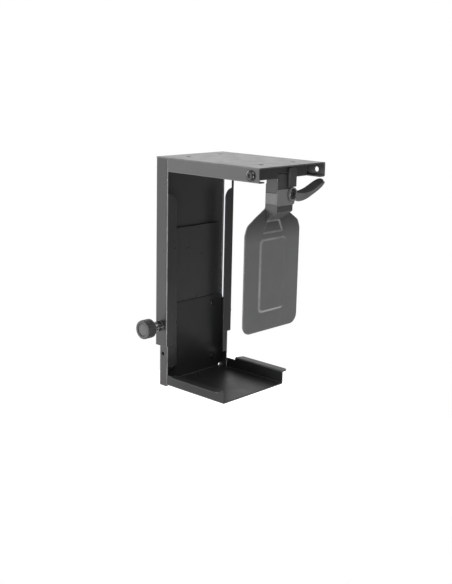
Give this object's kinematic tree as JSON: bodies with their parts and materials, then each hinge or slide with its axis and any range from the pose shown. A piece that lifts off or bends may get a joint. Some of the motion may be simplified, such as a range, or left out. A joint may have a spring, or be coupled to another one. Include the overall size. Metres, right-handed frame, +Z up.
{
  "type": "cpu holder",
  "caption": "Under-desk steel computer holder: a beam and wall channel carry a telescopic tray locked by an index plunger, and a sliding side pad locked by a cam lever.",
  "frame": {"origin": "centre of the four desk holes on the top face", "axes": "+X from the wall channel to the open end of the beam, +Y along the desk edge towards the cable slot side, +Z up through the desk"},
  "size_m": [0.2225, 0.2137, 0.386],
  "materials": {
    "powder_black": "satin black powder coat on 2 mm sheet steel",
    "zinc_steel": "zinc-plated steel",
    "black_oxide": "blackened steel, slightly glossy",
    "black_plastic": "moulded black plastic, satin",
    "black_acetal": "black acetal",
    "bronze": "sintered bronze",
    "shoe_rubber": "dense black rubber",
    "liner_foam": "black closed-cell foam sheet"
  },
  "bodies": {
    "frame": {"top_beam": "powder_black", "wall_channel": "powder_black", "end_stop_screw": "black_oxide", "end_stop_nut": "zinc_steel", "plunger_body": "black_oxide", "plunger_nut": "zinc_steel", "spare_hole_plug": "black_plastic", "wall_glides": "black_acetal"},
    "tray_unit": {"inner_channel": "powder_black", "tray": "powder_black", "tray_rivets": "black_oxide", "inner_glides": "black_acetal"},
    "plunger": {"plunger_pin": "zinc_steel", "plunger_knob": "black_plastic", "knob_cap": "black_plastic", "plunger_spring": "zinc_steel"},
    "pad_unit": {"carriage_plate": "powder_black", "carriage_runners": "black_acetal", "hanger_bracket": "powder_black", "carriage_bolts": "zinc_steel", "carriage_nuts": "zinc_steel", "pad_plate": "powder_black", "pad_liner": "liner_foam", "pad_rivets": "black_oxide", "clamp_housing": "black_plastic", "pivot_screw": "black_oxide", "pivot_nut": "zinc_steel"},
    "lever": {"cam_lever": "black_plastic", "pivot_bush": "bronze"},
    "brake": {"brake_strap": "powder_black", "brake_shoe": "shoe_rubber", "strap_guide_pin": "zinc_steel"}
  },
  "joints": [
    {"name": "tray_slide", "type": "slide", "parent": "frame", "child": "tray_unit", "axis": [0, 0, 1], "range_m": [-0.1, 0.05]},
    {"name": "plunger_push", "type": "slide", "parent": "frame", "child": "plunger", "axis": [0, 1, 0], "range_m": [0, 0.007], "deforming": ["plunger_spring"]},
    {"name": "pad_slide", "type": "slide", "parent": "frame", "child": "pad_unit", "axis": [1, 0, 0], "range_m": [-0.09, 0.013]},
    {"name": "lever_turn", "type": "hinge", "parent": "pad_unit", "child": "lever", "pos_m": [0.098, 0.011, -0.046], "axis": [1, 0, 0], "range_deg": [-60, 0]},
    {"name": "brake_lift", "type": "slide", "parent": "pad_unit", "child": "brake", "axis": [0, 0, 1], "range_m": [-0.0016, 0]}
  ],
  "couplings": [
    {"joint": "brake_lift", "follows": "lever_turn", "m_per_rad": 0.0015279}
  ]
}
